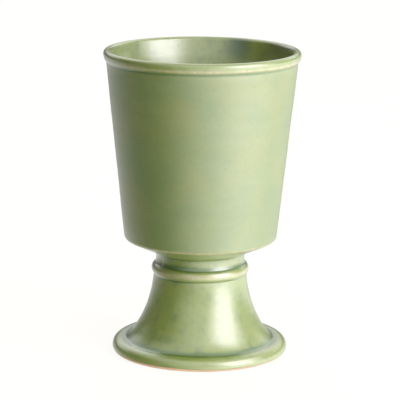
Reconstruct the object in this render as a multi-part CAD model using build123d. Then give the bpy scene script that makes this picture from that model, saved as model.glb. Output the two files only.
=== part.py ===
from build123d import *

# A footed brush pot in glazed stoneware. A thrown cup with a beaded lip is luted with slip onto a
# hollow thrown pedestal, and the joined pot is glazed all over but for its foot ring.
# Millimetres. +Z is up, and the origin is the middle of the foot ring's resting face.
# Each clay piece and each coat of glaze is drawn as a section, radius across and height up, and turned.

import os

# Whole pot, over the glaze
POT_HEIGHT = 171.7
LIP_DIAMETER = 110.0
FOOT_DIAMETER = 99.0
GLAZE = 0.4  # thickness of the fired coat
POOL_RADIUS = 0.9  # glaze that gathered in each inner corner
LAP = 5.0  # how far down inside the lip the outside coat laps

# Cup, bare clay
WALL = 4.6  # even up to the flare, then thinner towards the lip
FLARE_Z = 145.0  # above here the inside opens out towards the lip
LIP_ROUND = 1.9  # half the lip's thickness at the bead
BEAD_HEIGHT = 6.0  # from the bead's root to the top of the lip
BEAD_PROUD = 1.6  # how far the bead stands out from the wall
BEAD_BEVEL = (1.2, 1.8)  # how far the bead's slanted underside goes out and up
BEAD_EDGE_ROUND = 0.8
CUP_CORNER_RADIUS = 42.55  # where wall and underside would meet if sharp
CUP_CORNER_Z = 65.4
CUP_CORNER_ROUND = 2.2
FLOOR_Z = 64.0
FLOOR_CORNER_ROUND = 8.0

# Luting seam between cup and pedestal
SEAT_Z = 58.0
SEAT_RADIUS = 26.0
SLIP = 0.6

# Pedestal, bare clay
NECK_TOP_RADIUS = 25.3
NECK_WAIST_RADIUS = 24.6
NECK_WAIST_Z = 54.4
COLLAR_TOP = (25.2, 50.7)
COLLAR_CREST = (27.1, 47.9)
COLLAR_ROOT_Z = 44.9
SKIRT_CENTRE = (95.2, 49.2)  # centre of the skirt's hollow curve
SKIRT_CURVE = 69.4
SKIRT_FLARE_Z = 13.0  # below here the skirt flares faster
SKIRT_FOOT_RADIUS = 41.7
FLANGE_TOP_Z = 6.6
FLANGE_SHOULDER = 4.0
FLANGE_EDGE_ROUND = 1.4
PEDESTAL_WALL = 5.0
FOOT_RING_INNER_RADIUS = 42.5
FOOT_BEVEL_Z = 3.0
WIPE_Z = 1.2  # glaze is wiped off below this, so that the pot doesn't stick in the kiln

# Worked out from the above
LIP_TOP_Z = POT_HEIGHT - GLAZE
LIP_RADIUS = LIP_DIAMETER / 2 - GLAZE
FLANGE_RADIUS = FOOT_DIAMETER / 2 - GLAZE
LIP_CENTRE = (LIP_RADIUS - LIP_ROUND, LIP_TOP_Z - LIP_ROUND)
BEAD_ROOT = (LIP_RADIUS - BEAD_PROUD, LIP_TOP_Z - BEAD_HEIGHT)
BEAD_EDGE = (BEAD_ROOT[0] + BEAD_BEVEL[0], BEAD_ROOT[1] + BEAD_BEVEL[1])
CUP_CORNER = (CUP_CORNER_RADIUS, CUP_CORNER_Z)
WELL_CURVE = SKIRT_CURVE + PEDESTAL_WALL
WELL_RADIUS = SKIRT_CENTRE[0] - WELL_CURVE  # the hollow inside the neck
PEDESTAL_TOP_Z = SEAT_Z - SLIP
FAR = 2 * POT_HEIGHT


def radius_on(curve, z):
    """Radius of a hollow curve round the skirt's centre, at height z."""
    return SKIRT_CENTRE[0] - (curve**2 - (z - SKIRT_CENTRE[1]) ** 2) ** 0.5


def arc_on(curve, z_from, z_to):
    """The stretch of that curve from one height to another."""
    ends = [(radius_on(curve, z), z) for z in (z_from, (z_from + z_to) / 2, z_to)]
    return ThreePointArc(*ends)


def corner(section, point):
    """The section's corner nearest to a point."""
    return section.vertices().sort_by_distance(Vector(*point))[0]


def turned(section):
    """The solid that a section makes when it is turned round the pot's axis."""
    return revolve(Plane.XZ * section, axis=Axis.Z)


def inner_radius(z):
    """The cup's inner radius at height z below the flare, where its wall is even."""
    lean = (BEAD_ROOT[0] - CUP_CORNER[0]) / (BEAD_ROOT[1] - CUP_CORNER[1])
    return CUP_CORNER[0] - WALL + (z - CUP_CORNER[1]) * lean


def cup_section():
    """Cup: seat, sloping underside, tapered wall, bead, rounded lip, flared inside and floor."""
    inner_foot = (inner_radius(FLOOR_Z), FLOOR_Z)
    flare_start = (inner_radius(FLARE_Z), FLARE_Z)
    lip_inside = (LIP_CENTRE[0] - LIP_ROUND, LIP_CENTRE[1])
    outside = Polyline((0, SEAT_Z), (SEAT_RADIUS, SEAT_Z), CUP_CORNER, BEAD_ROOT, BEAD_EDGE,
                       (LIP_RADIUS, LIP_CENTRE[1]))
    lip = ThreePointArc((LIP_RADIUS, LIP_CENTRE[1]), (LIP_CENTRE[0], LIP_TOP_Z), lip_inside)
    inner_wall = Line(inner_foot, flare_start)
    flare = TangentArc(flare_start, lip_inside, tangent=inner_wall % 1)
    floor = Polyline(inner_foot, (0, FLOOR_Z), (0, SEAT_Z))
    section = make_face(outside + lip + flare + inner_wall + floor)
    section = fillet(corner(section, CUP_CORNER), CUP_CORNER_ROUND)
    section = fillet(corner(section, BEAD_EDGE), BEAD_EDGE_ROUND)
    return fillet(corner(section, inner_foot), FLOOR_CORNER_ROUND)


def slip_section():
    """Luting slip: the thin fired ring that fills the joint between seat and pedestal."""
    return make_face(Polyline((WELL_RADIUS, PEDESTAL_TOP_Z), (NECK_TOP_RADIUS, PEDESTAL_TOP_Z),
                              (SEAT_RADIUS, SEAT_Z), (WELL_RADIUS, SEAT_Z), close=True))


def pedestal_section():
    """Pedestal: waisted neck, collar bead, trumpet skirt and base flange round an open well."""
    neck = ThreePointArc((NECK_TOP_RADIUS, PEDESTAL_TOP_Z), (NECK_WAIST_RADIUS, NECK_WAIST_Z),
                         COLLAR_TOP)
    collar = ThreePointArc(COLLAR_TOP, COLLAR_CREST,
                           (radius_on(SKIRT_CURVE, COLLAR_ROOT_Z), COLLAR_ROOT_Z))
    skirt = arc_on(SKIRT_CURVE, COLLAR_ROOT_Z, SKIRT_FLARE_Z)
    flare = TangentArc(skirt @ 1, (SKIRT_FOOT_RADIUS, FLANGE_TOP_Z), tangent=skirt % 1)
    base = Polyline(flare @ 1, (FLANGE_RADIUS, FLANGE_TOP_Z), (FLANGE_RADIUS, 0),
                    (FOOT_RING_INNER_RADIUS, 0), (radius_on(WELL_CURVE, FOOT_BEVEL_Z), FOOT_BEVEL_Z))
    well = arc_on(WELL_CURVE, FOOT_BEVEL_Z, SKIRT_CENTRE[1])
    top = Polyline(well @ 1, (WELL_RADIUS, PEDESTAL_TOP_Z), (NECK_TOP_RADIUS, PEDESTAL_TOP_Z))
    section = make_face(neck + collar + skirt + flare + base + well + top)
    section = fillet(corner(section, (FLANGE_RADIUS, FLANGE_TOP_Z)), FLANGE_SHOULDER)
    return fillet(corner(section, (FLANGE_RADIUS, 0)), FLANGE_EDGE_ROUND)


def coat_section(clay):
    """Glaze round the joined clay: an even coat with a pool in each inner corner outside."""
    coated = offset(clay, amount=GLAZE, kind=Kind.ARC)
    collar_root = (radius_on(SKIRT_CURVE, COLLAR_ROOT_Z), COLLAR_ROOT_Z)
    inner_corners = [BEAD_ROOT, (SEAT_RADIUS, PEDESTAL_TOP_Z), COLLAR_TOP, collar_root,
                     (SKIRT_FOOT_RADIUS, FLANGE_TOP_Z)]
    for point in inner_corners:
        coated = fillet(corner(coated, point), POOL_RADIUS)
    below_wipe = Pos(0, WIPE_Z) * Rectangle(FAR, FAR, align=(Align.CENTER, Align.MAX))
    past_axis = Rectangle(FAR, FAR, align=(Align.MAX, Align.CENTER))
    return coated - clay - below_wipe - past_axis


def cup_cavity():
    """The inside of the cup up to the lap, out to the middle of its wall and floor."""
    floor_middle = (SEAT_Z + FLOOR_Z) / 2
    lap_z = LIP_TOP_Z - LAP
    lip_middle = LIP_RADIUS - LIP_ROUND - BEAD_PROUD / 2
    return make_face(Polyline((0, floor_middle), (SEAT_RADIUS, floor_middle),
                              (CUP_CORNER[0] - WALL, CUP_CORNER[1]), (lip_middle, lap_z),
                              (0, lap_z), close=True))


def foot_well():
    """The inside of the pedestal out to the middle of its wall and foot ring."""
    middle = SKIRT_CURVE + PEDESTAL_WALL / 2
    neck_middle = radius_on(middle, SKIRT_CENTRE[1])
    up = arc_on(middle, 0, SKIRT_CENTRE[1])
    rest = Polyline(up @ 1, (neck_middle, SEAT_Z + GLAZE), (0, SEAT_Z + GLAZE), (0, 0), up @ 0)
    return make_face(up + rest)


cup = cup_section()
slip = slip_section()
pedestal = pedestal_section()
coat = coat_section(cup + slip + pedestal)

sections = {
    "cup": cup,
    "luting_slip": slip,
    "pedestal": pedestal,
    "outside_glaze": coat - cup_cavity() - foot_well(),
    "inside_glaze": coat & cup_cavity(),
    "foot_well_glaze": coat & foot_well(),
}

os.makedirs("parts", exist_ok=True)
for name, section in sections.items():
    export_step(turned(section), f"parts/{name}.step")
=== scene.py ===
import math

import bmesh
import bpy
import numpy as np
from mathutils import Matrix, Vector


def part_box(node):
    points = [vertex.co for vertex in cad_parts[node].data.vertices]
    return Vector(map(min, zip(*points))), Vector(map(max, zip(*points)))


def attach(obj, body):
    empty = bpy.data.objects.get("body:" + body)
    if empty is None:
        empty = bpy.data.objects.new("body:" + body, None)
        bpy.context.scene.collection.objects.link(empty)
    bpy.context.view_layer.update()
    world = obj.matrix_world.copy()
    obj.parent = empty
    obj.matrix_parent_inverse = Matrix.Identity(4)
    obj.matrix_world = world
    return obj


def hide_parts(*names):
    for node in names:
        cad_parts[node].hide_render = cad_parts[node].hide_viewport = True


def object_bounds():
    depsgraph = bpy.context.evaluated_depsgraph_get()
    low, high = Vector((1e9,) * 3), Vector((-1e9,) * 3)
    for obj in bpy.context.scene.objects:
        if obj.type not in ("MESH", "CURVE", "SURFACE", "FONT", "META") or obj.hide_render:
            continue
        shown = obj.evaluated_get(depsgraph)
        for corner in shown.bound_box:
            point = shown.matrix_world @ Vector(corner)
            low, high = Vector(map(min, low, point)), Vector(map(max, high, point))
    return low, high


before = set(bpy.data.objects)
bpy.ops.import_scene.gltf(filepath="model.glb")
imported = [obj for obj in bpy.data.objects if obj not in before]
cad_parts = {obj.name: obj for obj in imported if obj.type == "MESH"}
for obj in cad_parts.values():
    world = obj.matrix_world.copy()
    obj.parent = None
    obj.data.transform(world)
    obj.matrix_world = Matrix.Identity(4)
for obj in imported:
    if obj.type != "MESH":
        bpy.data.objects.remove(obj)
cad_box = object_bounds()

MM = 0.001

# ---------------------------------------------------------------------------------------------
# Pedestal. A thrown foot in buff stoneware: waisted neck, collar bead, trumpet skirt and base
# flange round an open well. It is glazed like the cup, so only its foot ring shows, wiped clean
# so that the pot doesn't stick to the kiln shelf and toasted by the fire along the glaze's edge.

pedestal_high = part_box("pedestal")[1]
FLANGE_RADIUS = pedestal_high.x
NECK_TOP = (25.3 * MM, pedestal_high.z)
NECK_WAIST = (24.6 * MM, 54.4 * MM)
COLLAR_TOP = (25.2 * MM, 50.7 * MM)
COLLAR_CREST = (27.1 * MM, 47.9 * MM)
COLLAR_ROOT = (25.9 * MM, 44.9 * MM)
SKIRT_MIDDLE = (28.7 * MM, 29.0 * MM)
FLARE_START = (36.0 * MM, 13.0 * MM)
FLARE_MIDDLE = (38.6 * MM, 9.5 * MM)
SKIRT_FOOT = (41.7 * MM, 6.6 * MM)
FLANGE_SHOULDER = 4.0 * MM
FLANGE_EDGE_ROUND = 1.4 * MM
RING_INNER_RADIUS = 42.5 * MM
WELL_BEVEL = (36.9 * MM, 3.0 * MM)
WELL_MIDDLE = (25.0 * MM, 24.0 * MM)
WELL_NECK = (20.8 * MM, 49.2 * MM)

PEDESTAL_POINTS = 240  # in the outline that is turned
SEGMENTS = 240  # round the pot
FINE = 0.1 * MM  # spacing of an outline's points before it is thinned and turned
BEND_REACH = 0.6 * MM  # thinning eases an outline's bends over about this far
BEND_PULL = 6 * MM  # and this is how strongly they draw its points to them
SHARP = math.radians(50)  # an edge that turns more than this stays crisp

PALE_BUFF = (0.80, 0.65, 0.48)
DEEP_BUFF = (0.70, 0.53, 0.37)
TOASTED = (0.55, 0.30, 0.16)
IRON = (0.13, 0.07, 0.04)


def bow(start, middle, end):
    """Corners, none of them rounded, along the arc through three points."""
    (ax, ay), (bx, by), (cx, cy) = start, middle, end
    twice_area = 2 * (ax * (by - cy) + bx * (cy - ay) + cx * (ay - by))
    a, b, c = (x * x + y * y for x, y in (start, middle, end))
    centre = np.array([a * (by - cy) + b * (cy - ay) + c * (ay - by),
                       a * (cx - bx) + b * (ax - cx) + c * (bx - ax)]) / twice_area
    first, halfway, last = (math.atan2(y - centre[1], x - centre[0]) for x, y in (start, middle, end))
    turn = math.remainder(halfway - first, math.tau) + math.remainder(last - halfway, math.tau)
    radius = math.dist(start, centre)
    angles = first + turn * np.linspace(0, 1, max(3, int(radius * abs(turn) / FINE)))
    return [(centre[0] + radius * math.cos(t), centre[1] + radius * math.sin(t), 0) for t in angles]


def outline_of(corners):
    """Evenly spaced points (radius, height) along corners, each (radius, height, rounding)."""
    path = []
    for i, (r, z, rounding) in enumerate(corners):
        here = np.array([r, z])
        if rounding:  # the corner gives way to an arc that touches both of its sides
            back = np.array(corners[i - 1][:2]) - here
            on = np.array(corners[i + 1][:2]) - here
            back /= np.hypot(*back)
            on /= np.hypot(*on)
            half = math.acos(np.clip(back @ on, -1, 1)) / 2
            reach = rounding / math.tan(half)
            centre = here + (back + on) / np.hypot(*(back + on)) * rounding / math.sin(half)
            near = centre + (here - centre) / np.hypot(*(here - centre)) * rounding
            path += [p[:2] for p in bow(here + back * reach, near, here + on * reach)]
        else:
            path.append((r, z))
    path = np.array(path)
    along = np.append(0, np.cumsum(np.hypot(*np.diff(path, axis=0).T)))
    even = np.linspace(0, along[-1], int(along[-1] / FINE))
    return np.stack([np.interp(even, along, path[:, 0]), np.interp(even, along, path[:, 1])], axis=1)


def eased(values, reach):
    """Values along an outline, each averaged with its neighbours within about reach."""
    width = int(3 * reach / FINE)
    weights = np.exp(-0.5 * (np.arange(-width, width + 1) * FINE / reach) ** 2)
    padded = np.pad(values, width, mode="reflect", reflect_type="odd")
    return np.convolve(padded, weights / weights.sum(), mode="valid")


def facing(outline):
    """The unit normal at each point of an outline, on its right as it runs."""
    along = np.gradient(outline, axis=0)
    along /= np.hypot(*along.T)[:, None]
    return np.stack([along[:, 1], -along[:, 0]], axis=1)


def thinned(outline, count):
    """The numbers of count points of an outline, closest together where it bends."""
    bend = np.abs(np.gradient(np.unwrap(np.arctan2(*facing(outline).T)))) / FINE
    weight = np.append(0, np.cumsum(1 + eased(bend, BEND_REACH) * BEND_PULL))
    places = np.interp(np.linspace(0, weight[-2], count), weight[:-1], np.arange(len(outline)))
    return np.unique(places.round().astype(int))


def segment_angles():
    """The bearing of each segment round the pot."""
    return np.linspace(0, math.tau, SEGMENTS, endpoint=False)


def turned(name, rings, marks=None):
    """A closed mesh: the (radius, height) of an outline, by point and segment, turned round the
    pot's axis. Marks are kept on its points by name, also by point and segment."""
    count = len(rings)
    angles = segment_angles()
    radii, heights = np.moveaxis(np.broadcast_to(rings, (count, SEGMENTS, 2)), 2, 0)
    places = np.stack([radii * np.cos(angles), radii * np.sin(angles), heights], axis=2)
    on_axis = radii.max(axis=1) < FINE / 2
    faces = []
    for ring in range(count):
        here, on = ring * SEGMENTS, (ring + 1) % count * SEGMENTS
        if on_axis[ring] and on_axis[(ring + 1) % count]:  # there is nothing to turn between them
            continue
        faces += [(here + seg, on + seg, on + (seg + 1) % SEGMENTS, here + (seg + 1) % SEGMENTS)
                  for seg in range(SEGMENTS)]
    mesh = bpy.data.meshes.new(name)
    mesh.from_pydata(places.reshape(-1, 3).tolist(), [], faces)
    for mark, values in (marks or {}).items():
        layer = mesh.attributes.new(mark, "FLOAT", "POINT")
        spread = np.broadcast_to(values, (count, SEGMENTS))
        layer.data.foreach_set("value", spread.astype(np.float32).ravel())
    work = bmesh.new()
    work.from_mesh(mesh)
    bmesh.ops.remove_doubles(work, verts=work.verts, dist=FINE / 100)
    bmesh.ops.recalc_face_normals(work, faces=work.faces)
    work.to_mesh(mesh)
    work.free()
    mesh.shade_smooth()
    mesh.set_sharp_from_angle(angle=SHARP)
    piece = bpy.data.objects.new(name, mesh)
    bpy.context.scene.collection.objects.link(piece)
    return piece


class Paint:
    """One output of a shader node. Arithmetic on it adds the Math nodes that work it out."""

    def __init__(self, tree, socket=None):
        self.tree = tree
        self.socket = socket

    def node(self, kind, settings, sockets, output=0):
        """Adds a node: its settings are set first, then its sockets get a value or a link."""
        made = self.tree.nodes.new("ShaderNode" + kind)
        for setting, value in settings.items():
            setattr(made, setting, value)
        for socket, value in sockets.items():
            if isinstance(value, Paint):
                self.tree.links.new(value.socket, made.inputs[socket])
            else:
                made.inputs[socket].default_value = value
        return Paint(self.tree, made.outputs[output])

    def maths(self, operation, first, second):
        """Adds a Math node on two outputs or numbers."""
        return self.node("Math", {"operation": operation}, {0: first, 1: second})

    def __add__(self, other):
        return self.maths("ADD", self, other)

    def __sub__(self, other):
        return self.maths("SUBTRACT", self, other)

    def __rsub__(self, other):
        return self.maths("SUBTRACT", other, self)

    def __mul__(self, other):
        return self.maths("MULTIPLY", self, other)

    __radd__ = __add__
    __rmul__ = __mul__

    def rise(self, low, high):
        """0 below low, 1 above high, and a smooth rise between them."""
        return self.node("MapRange", {"interpolation_type": "SMOOTHSTEP"},
                         {"Value": self, "From Min": low, "From Max": high})

    def over(self, under, top):
        """The colour under, with the colour top laid over it as far as this mask goes."""
        first, second = (colour if isinstance(colour, Paint) else solid(colour) for colour in (under, top))
        sockets = {0: self, 6: first, 7: second}  # a Mix node's factor and its two colours
        return self.node("Mix", {"data_type": "RGBA"}, sockets, output=2)

    def feed(self, shader, socket):
        """Links this output to one of the shader's own sockets."""
        self.tree.links.new(self.socket, shader.inputs[socket])


def solid(colour):
    """A red, green and blue, as a colour that a socket takes."""
    return (*colour, 1.0)


def finish(name):
    """A new material, as its shader node and a Paint to start from."""
    material = bpy.data.materials.new(name)
    material.use_nodes = True
    tree = material.node_tree
    return material, tree.nodes["Principled BSDF"], Paint(tree)


def cloud(place, size, detail=2.0, stretch=(1, 1, 1)):
    """Soft noise from 0 to 1, its lumps about size across."""
    spread = place.node("Mapping", {}, {"Vector": place, "Scale": stretch})
    return place.node("TexNoise", {}, {"Vector": spread, "Scale": 1 / size, "Detail": detail})


def bare_clay():
    """Fired buff stoneware: grog and iron specks, sandy to the touch, toasted near the glaze."""
    material, shader, start = finish("bare_stoneware")
    place = start.node("TexCoord", {}, {}, output="Object")
    height = start.node("SeparateXYZ", {}, {"Vector": place}, output="Z")
    grain = cloud(place, 0.5 * MM, detail=4.0)
    patches = cloud(place, 9 * MM)
    clay = patches.rise(0.3, 0.7).over(DEEP_BUFF, PALE_BUFF)
    toasted = (height + grain * 0.8 * MM).rise(0.5 * MM, 1.6 * MM)
    clay = (toasted * 0.6).over(clay, TOASTED)
    specks = start.node("TexVoronoi", {}, {"Vector": place, "Scale": 1 / (1.1 * MM)}, output="Distance")
    iron = 1 - specks.rise(0.10, 0.20)
    clay = (iron * 0.7).over(clay, IRON)
    sand = {"Height": grain + specks * 0.3, "Strength": 0.5, "Distance": 0.12 * MM}
    clay.feed(shader, "Base Color")
    start.node("Bump", {}, sand, output="Normal").feed(shader, "Normal")
    (0.78 + grain * 0.2).feed(shader, "Roughness")
    return material


stoneware = bare_clay()
pedestal_side = [*bow(NECK_TOP, NECK_WAIST, COLLAR_TOP),
                 *bow(COLLAR_TOP, COLLAR_CREST, COLLAR_ROOT),
                 *bow(COLLAR_ROOT, SKIRT_MIDDLE, FLARE_START),
                 *bow(FLARE_START, FLARE_MIDDLE, SKIRT_FOOT),
                 (FLANGE_RADIUS, SKIRT_FOOT[1], FLANGE_SHOULDER),
                 (FLANGE_RADIUS, 0, FLANGE_EDGE_ROUND)]
well_side = [(RING_INNER_RADIUS, 0, 0),
             *bow(WELL_BEVEL, WELL_MIDDLE, WELL_NECK)]
pedestal_top = [(WELL_NECK[0], NECK_TOP[1], 0),
                (*NECK_TOP, 0)]
pedestal_outline = outline_of([*pedestal_side, *well_side, *pedestal_top])[:-1]
pedestal_outline = pedestal_outline[thinned(pedestal_outline, PEDESTAL_POINTS)]
pedestal = turned("pedestal_clay", pedestal_outline[:, None])
pedestal.data.materials.append(stoneware)
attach(pedestal, "root")
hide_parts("pedestal")

# ---------------------------------------------------------------------------------------------
# Cup. A thrown tapered wall on a flat floor, in the same stoneware. Its underside is turned to a
# slope and a flat seat, and its lip is rolled out to a bead. The glaze covers all of it.

cup_low, cup_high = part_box("cup")
LIP_TOP = cup_high.z
LIP_RADIUS = cup_high.x
LIP_ROUND = 1.9 * MM
BEAD_ROOT = (53.0 * MM, 165.3 * MM)
BEAD_EDGE = (54.2 * MM, 167.1 * MM)
BEAD_EDGE_ROUND = 0.8 * MM
CUP_CORNER = (42.55 * MM, 65.4 * MM)
CUP_CORNER_ROUND = 2.2 * MM
WALL = 4.6 * MM
FLARE_Z = 145.0 * MM  # above here the inside opens out towards the lip
FLOOR_ROUND = 8.0 * MM

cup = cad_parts["cup"]
cup.data.materials.clear()
cup.data.materials.append(stoneware)

# ---------------------------------------------------------------------------------------------
# Luting slip. The ring of creamy clay that sticks the cup to its pedestal. It fires as hard as
# they do, and stays hidden between them.

slip_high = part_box("luting_slip")[1]
SEAT = (slip_high.x, cup_low.z)

luting_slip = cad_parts["luting_slip"]
luting_slip.data.materials.clear()
luting_slip.data.materials.append(stoneware)

# ---------------------------------------------------------------------------------------------
# Outside glaze. One coat of sage green from just above the foot, up over the cup, and lapped
# over the lip. In the fire it runs thick and dark into each inner corner, and thin and yellow
# over each edge. The thrower's finger marks show through it as faint rings.

outside_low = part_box("outside_glaze")[0]
inside_low, inside_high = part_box("inside_glaze")
WIPE_Z = outside_low.z
LAP_Z = inside_high.z
GLAZE = 0.4 * MM
EDGE_ROLL = 0.6 * MM  # how far in from its bottom edge the coat reaches its full thickness
SOFTEN = 0.4 * MM  # how far the melt rounds off the clay's corners
FLOOR_Z = inside_low.z
FADE_RADIUS = 9 * MM  # finger marks die out this near the axis
FULLEST_POOLS_BEARING = math.radians(-146)  # the bearing, to the camera's left and front, where the pools are fullest
FULLER_BY = 0.4  # how much fuller its pools are than the other side's
OUTSIDE_POINTS = 330

# The bottom edge was wiped by hand, so it wavers: waves round the pot, as (height, crests, start).
# The first has no crests and lifts it all round.
HEM = [(0.15 * MM, 0, math.pi / 2),
       (0.28 * MM, 1, -2.1),
       (0.14 * MM, 3, 1.0),
       (0.09 * MM, 7, 2.1),
       (0.06 * MM, 17, 0.7)]
HEM_FADE = 2.5 * MM  # the waves die out this far above it

# Finger marks: each is a shallow spiral wave, as (depth, rise from one crest to the next, how
# many of its crests start round the pot)
WALL_MARKS = [(0.016 * MM, 9.1 * MM, 1),
              (0.010 * MM, 5.3 * MM, -1),
              (0.030 * MM, 31.0 * MM, 2),
              (0.040 * MM, 57.0 * MM, -3)]
INSIDE_MARKS = [(0.012 * MM, 7.3 * MM, 1),
                (0.006 * MM, 4.1 * MM, 1),
                (0.050 * MM, 41.0 * MM, 2)]

# Inner corners where the melt pooled, as (corner, how far up it spreads, how far down, how dark)
POOLS = [(BEAD_ROOT, 0.9 * MM, 1.0 * MM, 1.0),
         (NECK_TOP, 0.8 * MM, 0.8 * MM, 1.0),
         (COLLAR_TOP, 2.6 * MM, 0.9 * MM, 1.4),
         (COLLAR_ROOT, 0.8 * MM, 0.9 * MM, 0.9),
         (SKIRT_FOOT, 3.0 * MM, 3.4 * MM, 1.3)]

# Edges where it ran thin, in the same way
THIN_EDGES = [(BEAD_EDGE, 0.9 * MM, 0.8 * MM, 0.9),
              ((LIP_RADIUS, LIP_TOP - 2.5 * MM), 2.0 * MM, 2.0 * MM, 0.45),
              ((LIP_RADIUS - LIP_ROUND, LIP_TOP), 1.6 * MM, 1.6 * MM, 0.5),
              ((CUP_CORNER[0] - 0.6 * MM, CUP_CORNER[1] + 0.1 * MM), 1.2 * MM, 1.0 * MM, 1.2),
              (COLLAR_CREST, 2.2 * MM, 2.4 * MM, 0.95),
              ((FLANGE_RADIUS - 0.9 * MM, 5.0 * MM), 1.6 * MM, 1.6 * MM, 0.5)]

# How glossy the coat is, from 0, satin, to 1, shiny: foot, neck, wall and lip, by height
GLOSS_HEIGHTS = [0, 40 * MM, 56 * MM, 72 * MM, 160 * MM, 168 * MM]
GLOSS_THERE = [0.9, 0.9, 1.0, 0.25, 0.20, 0.8]

MOSS = (0.136, 0.198, 0.046)  # the body of the glaze drifts between moss and fern
FERN = (0.180, 0.214, 0.040)
PALE_BAND = (0.205, 0.250, 0.080)
SHINY_LEAF = (0.222, 0.280, 0.050)
DEEP_MOTTLE = (0.120, 0.185, 0.035)
PALE_SPECKLE = (0.230, 0.245, 0.090)
SMUT = (0.085, 0.140, 0.030)
POOLED_GREEN = (0.050, 0.122, 0.016)
THIN_YELLOW = (0.390, 0.380, 0.170)
BARED_BEIGE = (0.56, 0.43, 0.24)
PINHOLE_BROWN = (0.035, 0.030, 0.015)
PINHOLE_SPACING = 7 * MM
PINHOLE = 0.06  # half a pinhole's width, as a share of the spacing
PINHOLE_FREE = 0.84  # the share of places that have none

# Runs in the glaze and painted shade, as (middle, width over length, half width, how ragged, colour,
# strength): a streak at the neck where the clay shows through, a dark teal run that slid down inside
# the lip, and a broad dark olive patch inside the lip on its right side, which is painted shade
# where the cup's own wall shades its inside
GLAZE_RUNS_AND_PAINTED_SHADE = [((-20.9 * MM, -14.1 * MM, 53.2 * MM), 0.22, 0.9 * MM, 0.7 * MM, (0.44, 0.34, 0.17), 0.8),
        ((21.0 * MM, 45.5 * MM, 168.0 * MM), 0.8, 8.0 * MM, 9.0 * MM, (0.030, 0.090, 0.040), 0.7),
        ((46.0 * MM, 20.0 * MM, 160.0 * MM), 1.0, 20.0 * MM, 14.0 * MM, (0.080, 0.090, 0.022), 0.6)]


def flared(start, end, lean):
    """Corners along the arc that leaves start with a wall's lean and opens out to end."""
    across, up = end[0] - start[0], end[1] - start[1]
    bend = math.atan2(across, up) - math.atan(lean)
    sag = math.tan(bend / 2) / 2  # how far the arc's middle stands off its chord, as a share of it
    middle = ((start[0] + end[0]) / 2 - up * sag, (start[1] + end[1]) / 2 + across * sag)
    return bow(start, middle, end)


def spirals(outline, marks):
    """How far finger marks move each point, by point of the outline and segment."""
    along = np.append(0, np.cumsum(np.hypot(*np.diff(outline, axis=0).T)))[:, None]
    own_start = 1 / MM  # sets each wave off at a place of its own, by its rise
    moves = sum(depth * np.sin(along / rise * math.tau + starts * segment_angles() + rise * own_start)
                for depth, rise, starts in marks)
    return moves * np.clip(outline[:, :1] / FADE_RADIUS, 0, 1)


def near(outline, corners):
    """How near each point of an outline is to some corners, from 0 to each one's own strength."""
    total = np.zeros(len(outline))
    for corner, above, below, strength in corners:
        across, up = (outline - corner).T
        reach = np.where(up > 0, above, below)
        total += strength * np.exp(-(across ** 2 + up ** 2) / reach ** 2)
    return total


def coat(clay):
    """The surface of the glaze over a clay outline, rolled down to the clay at the wiped edge."""
    full = np.clip((clay[:, 1] - WIPE_Z) / EDGE_ROLL, 0, 1)[:, None]
    soft = clay + (np.stack([eased(side, SOFTEN) for side in clay.T], axis=1) - clay) * full
    return soft + facing(soft) * GLAZE * np.sqrt(1 - (1 - full) ** 2)


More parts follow.
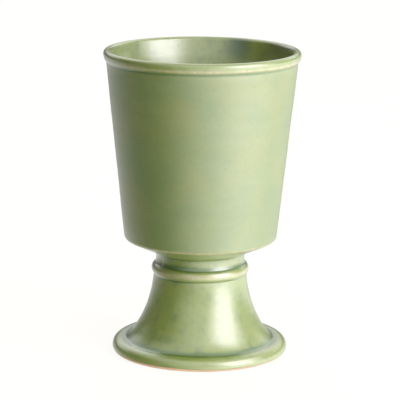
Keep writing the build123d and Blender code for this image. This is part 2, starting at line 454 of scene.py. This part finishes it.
def glaze(name):
    """Sage green glaze over buff clay: dark green where it pooled, yellow to beige where an edge
    thinned it, and clouded, speckled and pinholed in between."""
    material, shader, start = finish(name)
    place = start.node("TexCoord", {}, {}, output="Object")
    pooled = start.node("Attribute", {"attribute_name": "pooled"}, {}, output="Fac")
    edged = start.node("Attribute", {"attribute_name": "edged"}, {}, output="Fac")
    gloss = start.node("Attribute", {"attribute_name": "gloss"}, {}, output="Fac")
    drift = cloud(place, 24 * MM)
    mottle = cloud(place, 6 * MM, detail=4.0)
    speckle = cloud(place, 1.5 * MM)

    colour = drift.rise(0.3, 0.7).over(MOSS, FERN)
    bands = cloud(place, 9 * MM, detail=4.0, stretch=(0.22, 0.22, 1))
    colour = (bands.rise(0.45, 0.75) * 0.3).over(colour, PALE_BAND)
    colour = (gloss.rise(0.3, 0.9) * 0.7).over(colour, SHINY_LEAF)
    colour = (mottle.rise(0.48, 0.72) * (0.12 + gloss * 0.6)).over(colour, DEEP_MOTTLE)
    colour = (speckle.rise(0.55, 0.75) * 0.35).over(colour, PALE_SPECKLE)
    smut = cloud(place, 2.8 * MM, detail=3.0)
    colour = (smut.rise(0.52, 0.72) * (0.15 + gloss * 0.2)).over(colour, SMUT)
    gathered = (pooled * (0.6 + drift * 0.8) + (mottle - 0.5) * 0.5).rise(0.2, 0.95)
    colour = (gathered * 0.86).over(colour, POOLED_GREEN)
    thinned_out = (edged + (mottle - 0.5) * 0.9).rise(0.35, 1.0)
    colour = (thinned_out * 0.75).over(colour, THIN_YELLOW)
    bared = (edged + (cloud(place, 3 * MM) - 0.5) * 1.6).rise(0.95, 1.3)
    colour = (bared * 0.55).over(colour, BARED_BEIGE)

    # The last entry is painted shade inside the lip on its right side, not a run
    for middle, squash, width, ragged, tint, strength in GLAZE_RUNS_AND_PAINTED_SHADE:
        squashed = start.node("Mapping", {}, {"Vector": place, "Scale": (1, 1, squash)})
        ends = {0: squashed, 1: (middle[0], middle[1], middle[2] * squash)}
        away = start.node("VectorMath", {"operation": "DISTANCE"}, ends, output="Value")
        run_and_shade = 1 - (away + (cloud(place, width * 2) - 0.5) * ragged).rise(width * 0.4, width * 1.4)
        colour = (run_and_shade * gloss.rise(0.5, 0.9) * strength).over(colour, tint)

    cells = {"Vector": place, "Scale": 1 / PINHOLE_SPACING}
    from_middle = start.node("TexVoronoi", {}, cells, output="Distance")
    chance = start.node("SeparateColor", {}, {0: start.node("TexVoronoi", {}, cells, output="Color")})
    picked = chance.rise(PINHOLE_FREE, PINHOLE_FREE + 0.01)
    pinhole = (1 - from_middle.rise(PINHOLE / 2, PINHOLE)) * picked
    colour = (pinhole * 0.85).over(colour, PINHOLE_BROWN)

    skin = cloud(place, 0.9 * MM) * 0.6 + cloud(place, 3.5 * MM) * 1.5 - pinhole * 3.0
    ripple = {"Height": skin, "Strength": 0.25, "Distance": 0.03 * MM}
    colour.feed(shader, "Base Color")
    start.node("Bump", {}, ripple, output="Normal").feed(shader, "Normal")
    (0.50 - gloss * 0.20 + (speckle - 0.5) * 0.1).feed(shader, "Roughness")
    (0.5 + gloss * 0.5).feed(shader, "Coat Weight")
    shader.inputs["IOR"].default_value = 1.7
    shader.inputs["Specular IOR Level"].default_value = 1.0
    shader.inputs["Coat IOR"].default_value = 1.6
    shader.inputs["Coat Roughness"].default_value = 0.21
    return material


def coated(name, node, clay, points, marks, gloss):
    """A coat of glaze over a clay outline, which runs with the glaze on its right. It is turned
    from so many points on its face, and a fifth as many on its back against the clay."""
    surface = coat(clay)
    keep = thinned(surface, points)
    back = thinned(clay, points // 5)[::-1]
    thickness = np.hypot(*(surface - clay)[keep].T)
    moves = spirals(surface[keep], marks) * np.clip(thickness / GLAZE, 0, 1)[:, None]
    glazed = surface[keep][:, None] + facing(surface)[keep][:, None] * moves[:, :, None]
    against_clay = np.broadcast_to(clay[back][:, None], (len(back), SEGMENTS, 2))
    rings = np.concatenate([glazed, against_clay])
    hem = sum(height * np.sin(crests * segment_angles() + start) for height, crests, start in HEM)
    rings[:, :, 1] += hem * np.clip((WIPE_Z + HEM_FADE - rings[:, :, 1]) / HEM_FADE, 0, 1)
    outline = np.concatenate([clay[keep], clay[back]])
    pool_fullness = 1 - FULLER_BY / 2 + FULLER_BY / 2 * np.cos(segment_angles() - FULLEST_POOLS_BEARING)
    piece = turned(name, rings, {"pooled": near(outline, POOLS)[:, None] * pool_fullness,
                                 "edged": near(outline, THIN_EDGES)[:, None],
                                 "gloss": gloss(outline)[:, None]})
    piece.data.materials.append(glaze(name))
    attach(piece, "root")
    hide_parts(node)
    return piece


def outside_gloss(outline):
    """Gloss by height, and shiny inside the lip."""
    by_height = np.interp(outline[:, 1], GLOSS_HEIGHTS, GLOSS_THERE)
    behind_lip = np.clip((LIP_RADIUS - LIP_ROUND - outline[:, 0]) / LIP_ROUND, 0, 1)
    return np.where(outline[:, 1] > LAP_Z - MM, by_height + (1 - by_height) * behind_lip, by_height)


lip_centre_z = LIP_TOP - LIP_ROUND
lip_inside = (LIP_RADIUS - 2 * LIP_ROUND, lip_centre_z)
lean = (BEAD_ROOT[0] - CUP_CORNER[0]) / (BEAD_ROOT[1] - CUP_CORNER[1])
floor_corner = (CUP_CORNER[0] - WALL + (FLOOR_Z - CUP_CORNER[1]) * lean, FLOOR_Z)
flare_start = (CUP_CORNER[0] - WALL + (FLARE_Z - CUP_CORNER[1]) * lean, FLARE_Z)
flare = flared(flare_start, lip_inside, lean)
above_lap = [point for point in flare if point[1] > LAP_Z]
below_lap = [point for point in flare if point[1] <= LAP_Z]
cup_side = [(*SEAT, 0),
            (*CUP_CORNER, CUP_CORNER_ROUND),
            (*BEAD_ROOT, 0),
            (*BEAD_EDGE, BEAD_EDGE_ROUND),
            (LIP_RADIUS, lip_centre_z, 0),
            *bow((LIP_RADIUS, lip_centre_z), (LIP_RADIUS - LIP_ROUND, LIP_TOP), lip_inside),
            *above_lap[::-1]]
outside_clay = outline_of([well_side[0], *pedestal_side[::-1], *cup_side])
outside_clay = outside_clay[outside_clay[:, 1] >= WIPE_Z]
outside = coated("outside_glaze_coat", "outside_glaze", outside_clay, OUTSIDE_POINTS, WALL_MARKS,
                 outside_gloss)

# ---------------------------------------------------------------------------------------------
# Inside glaze. The same glaze, poured in and swilled round before the outside was dipped. It lies
# shinier here, and the finger rings under it are fainter.

INSIDE_POINTS = 220


def shiny(outline):
    """Full gloss at every point of an outline."""
    return np.ones(len(outline))


inside_clay = outline_of([above_lap[0],
                          *below_lap[::-1],
                          (*floor_corner, FLOOR_ROUND),
                          (0, FLOOR_Z, 0)])
inside = coated("inside_glaze_coat", "inside_glaze", inside_clay, INSIDE_POINTS, INSIDE_MARKS, shiny)

# ---------------------------------------------------------------------------------------------
# Foot well glaze. The glaze that ran up inside the hollow foot when the pot was dipped, over the
# pedestal's inner wall and the cup's seat.

WELL_POINTS = 140

well_clay = outline_of([(0, SEAT[1], 0),
                        (WELL_NECK[0], SEAT[1], 0),
                        *well_side[::-1]])
well_clay = well_clay[well_clay[:, 1] >= WIPE_Z]
well = coated("foot_well_glaze_coat", "foot_well_glaze", well_clay, WELL_POINTS, INSIDE_MARKS, shiny)

# ---------------------------------------------------------------------------------------------
# The studio. A white table that sweeps up into white walls, a large soft window to the right, and
# a long lens looking slightly down. The sweep only shows: the light comes from the window, from a
# sky and from a sheet of white paper under the pot.

TABLE_RADIUS = 3.0
STUDIO_RADIUS = 4.0
STUDIO_HEIGHT = 5.0
SWEEP_STEPS = 12
NEAR_TABLE_RADIUS = 130 * MM
NEAR_TABLE_TOP = -0.1 * MM
NEAR_TABLE_BOTTOM = -1.0 * MM
PAPER = (0.10, 0.10, 0.095)
PAPER_GLOW = (1.0, 0.99, 0.96)
WINDOW_TINT = (1.0, 0.96, 1.03)
SKY_TINT = (1.0, 1.0, 0.99)
FAINT_GLOW = 0.05  # of the sky where nothing else glows
AIM = (0, 0, (cad_box[0][2] + cad_box[1][2]) / 2)


def white_sheet(name, outline, glow):
    """Something white that the studio is dressed with: its outline is turned, and it glows."""
    sheet = turned(name, np.array(outline)[:, None])
    white, shader, _ = finish(name)
    shader.inputs["Base Color"].default_value = solid(PAPER)
    shader.inputs["Roughness"].default_value = 0.9
    shader.inputs["Emission Color"].default_value = solid(PAPER_GLOW)
    shader.inputs["Emission Strength"].default_value = glow
    sheet.data.materials.append(white)
    sheet.visible_shadow = False
    sheet.visible_glossy = False
    return sheet


rise_of_sweep = STUDIO_RADIUS - TABLE_RADIUS

# A closed room, so that there is white behind the pot from every side
sweep = [(TABLE_RADIUS + rise_of_sweep * math.sin(t), rise_of_sweep * (1 - math.cos(t)))
         for t in np.linspace(0, math.pi / 2, SWEEP_STEPS)]
room = [(0, 0), *sweep, (STUDIO_RADIUS, STUDIO_HEIGHT), (0, STUDIO_HEIGHT)]
table = white_sheet("table", room, glow=0.88)
table.visible_diffuse = False

near_sheet = [(0, NEAR_TABLE_TOP),
              (NEAR_TABLE_RADIUS, NEAR_TABLE_TOP),
              (NEAR_TABLE_RADIUS, NEAR_TABLE_BOTTOM),
              (0, NEAR_TABLE_BOTTOM)]
near_table = white_sheet("near_table", near_sheet, glow=0.8)
near_table.visible_camera = False


def soft_light(name, bearing, width, power, distance=1.5, height=0.68, tall=1.55):
    """A soft lamp that faces the pot, this many degrees round to the right from the camera's side."""
    lamp = bpy.data.lights.new(name, "AREA")
    lamp.shape = "RECTANGLE"
    lamp.size = width
    lamp.size_y = tall
    lamp.energy = power
    lamp.color = WINDOW_TINT
    stand = bpy.data.objects.new(name, lamp)
    turn = math.radians(bearing)
    stand.location = (distance * math.sin(turn), -distance * math.cos(turn), height)
    across, away, up = [aim - here for aim, here in zip(AIM, stand.location)]
    stand.rotation_euler = (math.atan2(math.hypot(across, away), -up),
                            0,
                            math.atan2(away, across) - math.pi / 2)
    stand.visible_camera = False
    bpy.context.scene.collection.objects.link(stand)


# The window is a pane with a wider, fainter curtain of light over it
soft_light("window", bearing=56, width=1.1, power=13.0)
soft_light("window_curtain", bearing=58, width=2.0, power=11.5)

world = bpy.data.worlds.new("studio_air")
world.use_nodes = True
air = Paint(world.node_tree)
direction = air.node("TexCoord", {}, {}, output="Generated")
x, y, z = (air.node("SeparateXYZ", {}, {"Vector": direction}, output=way) for way in "XYZ")

# Where the sky glows: x is to the right, y away from the camera and z up
above = z.rise(0.0, 0.15)
well_above = z.rise(0.15, 0.3)
below = (0.15 - z).rise(0.0, 0.3)
well_below = (0 - z).rise(0.1, 0.35)
toward_window = x * 0.883 - y * 0.469
toward_front = x * 0.17 - y * 0.985
toward_back_left = y * 0.8 - x * 0.6

wide_window = (toward_window + 0.4).rise(0.0, 1.35) * (0.05 + below * 1.6)
window_core = toward_window.rise(0.6, 1.0) * below * 0.8
right = x.rise(0.2, 1.0) * (0.05 + above * 0.48)
front = toward_front.rise(0.2, 1.0) * (0.10 + above * 0.8 + well_above * 0.22)
low_back = y.rise(0.0, 0.9) * below * 0.48
low_back_left = toward_back_left.rise(0.3, 1.0) * well_below * 0.3
high_back = y.rise(0.25, 0.85) * z.rise(0.15, 0.35) * 1.25
overhead = z.rise(0.45, 0.9) * 0.8
low_all_round = below * 0.03
sky = [wide_window, window_core, right, front, low_back, low_back_left, high_back, overhead,
       low_all_round]
background = world.node_tree.nodes["Background"]
(sum(sky) + FAINT_GLOW).feed(background, "Strength")
background.inputs["Color"].default_value = solid(SKY_TINT)
bpy.context.scene.world = world
bpy.context.scene.view_settings.view_transform = "Standard"

CAMERA_PLACE = (-0.45 * MM, -1158.7 * MM, 340.8 * MM)
LOOK_DOWN = math.radians(12.39)
CAMERA_ROLL = math.radians(0.6)  # about the lens, before it looks down
FILM_WIDTH = 36.0
FOCAL_LENGTH = 189.7

lens = bpy.data.cameras.new("camera")
lens.sensor_width = FILM_WIDTH
lens.lens = FOCAL_LENGTH
camera = bpy.data.objects.new("camera", lens)
camera.location = CAMERA_PLACE
camera.rotation_mode = "ZYX"
camera.rotation_euler = (math.pi / 2 - LOOK_DOWN, 0, CAMERA_ROLL)
bpy.context.scene.collection.objects.link(camera)
bpy.context.scene.camera = camera
